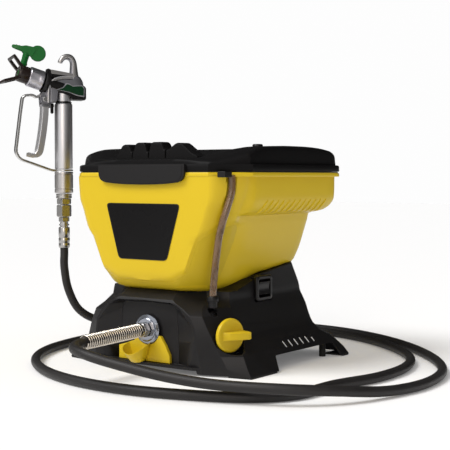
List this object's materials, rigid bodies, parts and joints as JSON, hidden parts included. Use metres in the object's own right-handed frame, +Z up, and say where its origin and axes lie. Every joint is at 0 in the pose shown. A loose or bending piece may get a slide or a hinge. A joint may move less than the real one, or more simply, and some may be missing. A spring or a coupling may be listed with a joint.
{
  "type": "airless paint sprayer",
  "caption": "Hopper machine on a four-legged base with a motor, gears and piston pump, a lift-off lid with a gun rest, and a long hose to a spray gun with trigger, hook and turning tip.",
  "frame": {"origin": "centre of the machine base, on the floor it stands on", "axes": "+Z up, the front of the machine with its paint outlet faces -Y, +X toward the side with the knob and the switch"},
  "size_m": [0.7545, 0.6545, 0.4887],
  "materials": {
    "yellow_shell": "moulded gloss",
    "black_shell": "satin moulded",
    "black_trim": "fine grain",
    "rubber": "smooth",
    "clear_tube": "translucent, slightly brown",
    "steel": "turned",
    "chrome": "polished",
    "alloy": "polished casting",
    "copper": "wound",
    "bronze": "machined",
    "green_plastic": "moulded gloss",
    "board": "coated",
    "label": "bare satin film"
  },
  "bodies": {
    "machine": {"base_housing": "black_shell", "base_floor": "black_shell", "outlet_panel": "black_trim", "pump_cover": "yellow_shell", "rubber_feet": "rubber", "pin_feet": "rubber", "motor_can": "steel", "gearbox_case": "alloy", "gearbox_cover": "alloy", "pump_block": "alloy", "inlet_valve": "steel", "outlet_valve": "steel", "outlet_disc": "chrome", "control_board": "board", "mains_gland": "rubber", "tank": "yellow_shell", "tank_seal": "rubber", "inlet_strainer": "steel", "label_plate": "label", "return_tube": "clear_tube", "tube_socket": "black_trim", "switch_frame": "black_trim", "hose_nut": "chrome", "hose_spring": "steel", "hose": "rubber", "hose_ferrule": "chrome", "swivel_nut": "chrome", "housing_screws": "steel"},
    "lid": {"lid": "black_shell", "lid_seal": "rubber"},
    "rotor": {"motor_rotor": "copper"},
    "crank": {"drive_gear": "bronze"},
    "piston": {"piston": "steel"},
    "knob": {"prime_knob": "yellow_shell", "prime_valve": "steel"},
    "rocker": {"switch_rocker": "black_trim"},
    "gun": {"gun_body": "alloy", "gun_handle": "chrome", "handle_collar": "alloy", "gun_filter": "green_plastic", "gun_inlet": "chrome", "gun_badges": "label", "trigger_pin": "steel", "trigger_guard": "black_trim", "seat_housing": "steel", "retaining_nut": "alloy"},
    "trigger": {"trigger": "chrome"},
    "lock": {"trigger_lock": "black_trim"},
    "needle": {"needle": "steel"},
    "guard": {"tip_guard": "black_shell", "tip_seal": "rubber"},
    "tip": {"spray_tip": "green_plastic"}
  },
  "joints": [
    {"name": "lid_lift", "type": "slide", "parent": "machine", "child": "lid", "axis": [0, 0, 1], "range_m": [0, 0.12]},
    {"name": "motor_spin", "type": "hinge", "parent": "machine", "child": "rotor", "pos_m": [0, 0.025, 0.062], "axis": [1, 0, 0], "continuous": true},
    {"name": "crank_spin", "type": "hinge", "parent": "machine", "child": "crank", "pos_m": [0, -0.014, 0.062], "axis": [1, 0, 0], "continuous": true},
    {"name": "piston_stroke", "type": "slide", "parent": "machine", "child": "piston", "axis": [0, 1, 0], "range_m": [-0.004, 0.004]},
    {"name": "knob_turn", "type": "hinge", "parent": "machine", "child": "knob", "pos_m": [0.119, -0.103, 0.055], "axis": [0.9744, -0.225, 0], "range_deg": [0, 90]},
    {"name": "switch_rock", "type": "hinge", "parent": "machine", "child": "rocker", "pos_m": [0.108, -0.002, 0.111], "axis": [0, 1, 0], "range_deg": [-8, 8]},
    {"name": "gun_swivel", "type": "hinge", "parent": "machine", "child": "gun", "pos_m": [-0.307, 0.023, 0.224], "axis": [0, 0, 1], "continuous": true},
    {"name": "trigger_pull", "type": "hinge", "parent": "gun", "child": "trigger", "pos_m": [-0.32315, -0.00578, 0.397], "axis": [0.8721, -0.4894, 0], "range_deg": [0, 9], "stiffness_Nm_per_rad": 0.6, "springref_deg": -20.05},
    {"name": "needle_slide", "type": "slide", "parent": "gun", "child": "needle", "axis": [0.468, 0.834, -0.2924], "range_m": [0, 0.002]},
    {"name": "lock_turn", "type": "hinge", "parent": "gun", "child": "lock", "pos_m": [-0.31654, 0.00599, 0.387], "axis": [-0.4894, -0.8721, 0], "range_deg": [0, 90]},
    {"name": "guard_turn", "type": "hinge", "parent": "gun", "child": "guard", "pos_m": [-0.307, 0.023, 0.416], "axis": [-0.468, -0.834, 0.2924], "range_deg": [-90, 90]},
    {"name": "tip_turn", "type": "hinge", "parent": "guard", "child": "tip", "pos_m": [-0.3421, -0.03955, 0.43793], "axis": [0.1431, 0.255, 0.9563], "range_deg": [0, 180]}
  ],
  "couplings": [
    {"joint": "crank_spin", "follows": "motor_spin", "ratio": -0.25},
    {"joint": "needle_slide", "follows": "trigger_pull", "m_per_rad": 0.012732}
  ]
}
